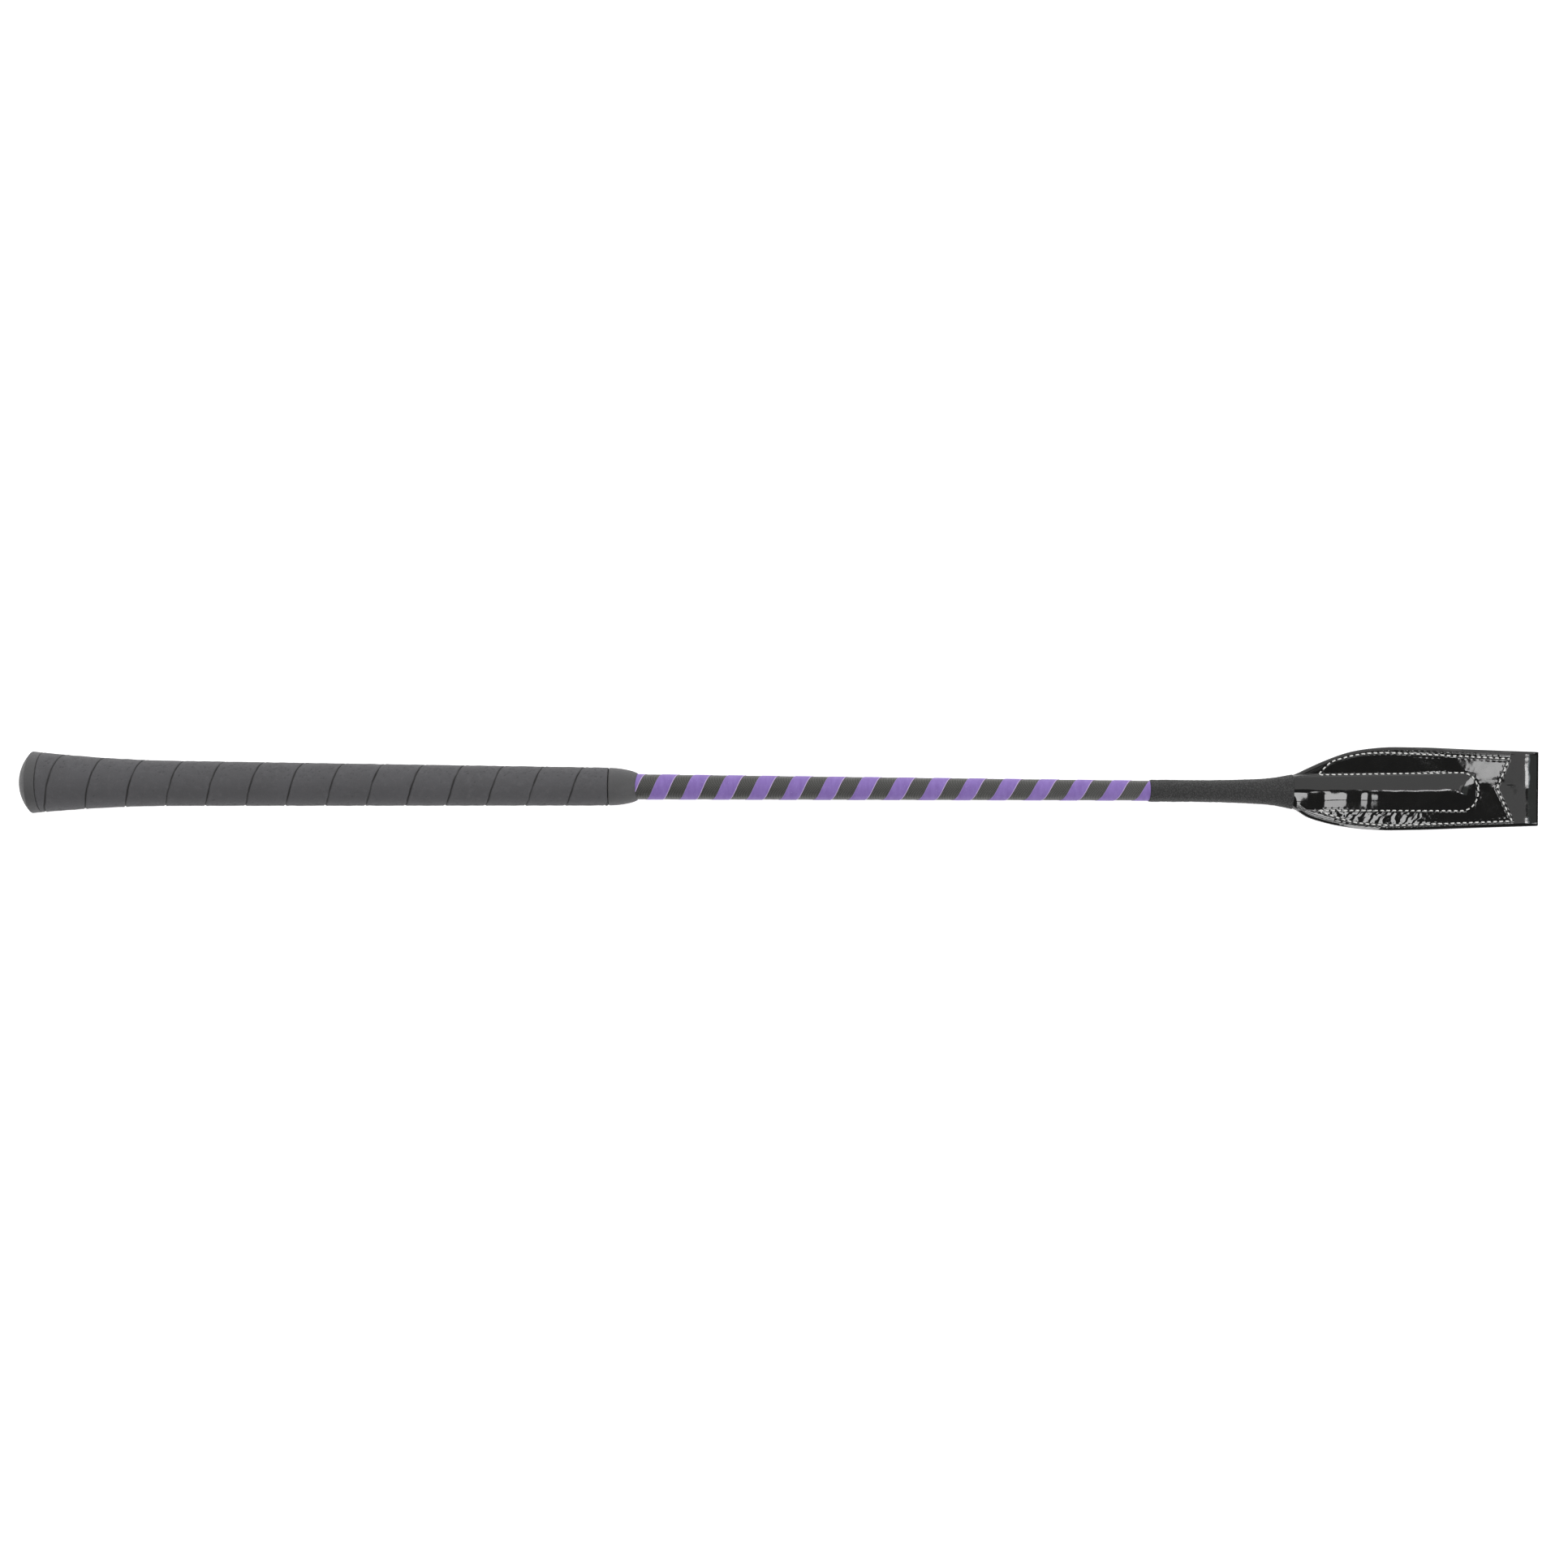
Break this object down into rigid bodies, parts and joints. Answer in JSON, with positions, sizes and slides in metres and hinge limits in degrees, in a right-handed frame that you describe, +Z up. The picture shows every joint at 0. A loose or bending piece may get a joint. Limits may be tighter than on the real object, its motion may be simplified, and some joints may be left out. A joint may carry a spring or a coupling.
{
  "type": "riding crop",
  "caption": "Short padded riding crop with a flared wrapped grip, a spirally striped tapered shaft, a grained neck sleeve and a broad stitched patent leather flap.",
  "frame": {"origin": "middle of the bounding box at the level of the surface that the crop lies on", "axes": "+X runs from the butt to the end of the flap, +Z is up, out of the flap's front face, +Y is across the flap"},
  "size_m": [0.66, 0.0366, 0.0268],
  "materials": {
    "fibreglass": "pultruded glass fibre, semi-matt",
    "soft_rubber": "soft black rubber",
    "former_foam": "dense closed-cell foam",
    "adhesive_tape": "double-sided cloth tape",
    "grip_rubber": "matt, slightly tacky polyurethane with fine perforations",
    "cover_black": "lacquered black covering over a fine weave",
    "stripe_purple": "lacquered purple tape",
    "binding_thread": "waxed black thread",
    "sleeve_grain": "matt, fine-grained leathercloth",
    "patent_leather": "high-gloss black patent leather",
    "padding": "pressed felt",
    "thread_white": "waxed white thread"
  },
  "bodies": {
    "crop": {"core_rod": "fibreglass", "rod_tip_cap": "soft_rubber", "handle_former": "former_foam", "grip_tape": "adhesive_tape", "grip_underlisting": "soft_rubber", "grip_wrap": "grip_rubber", "butt_cap": "grip_rubber", "nose_collar": "grip_rubber", "shaft_cover": "cover_black", "stripe_tape": "stripe_purple", "neck_binding": "binding_thread", "neck_sleeve": "sleeve_grain", "flap_front": "patent_leather", "flap_back": "patent_leather", "flap_padding": "padding", "stitching_front": "thread_white", "stitching_back": "thread_white"},
    "flap_tip": {"flap_fold": "patent_leather", "fold_padding": "padding", "fold_stitching_front": "thread_white", "fold_stitching_back": "thread_white"}
  },
  "joints": [
    {"name": "flap_bend", "type": "hinge", "parent": "crop", "child": "flap_tip", "pos_m": [0.30597, -0.00181, 0.0038], "axis": [0, -1, 0], "range_deg": [-60, 60], "stiffness_Nm_per_rad": 0.02}
  ]
}
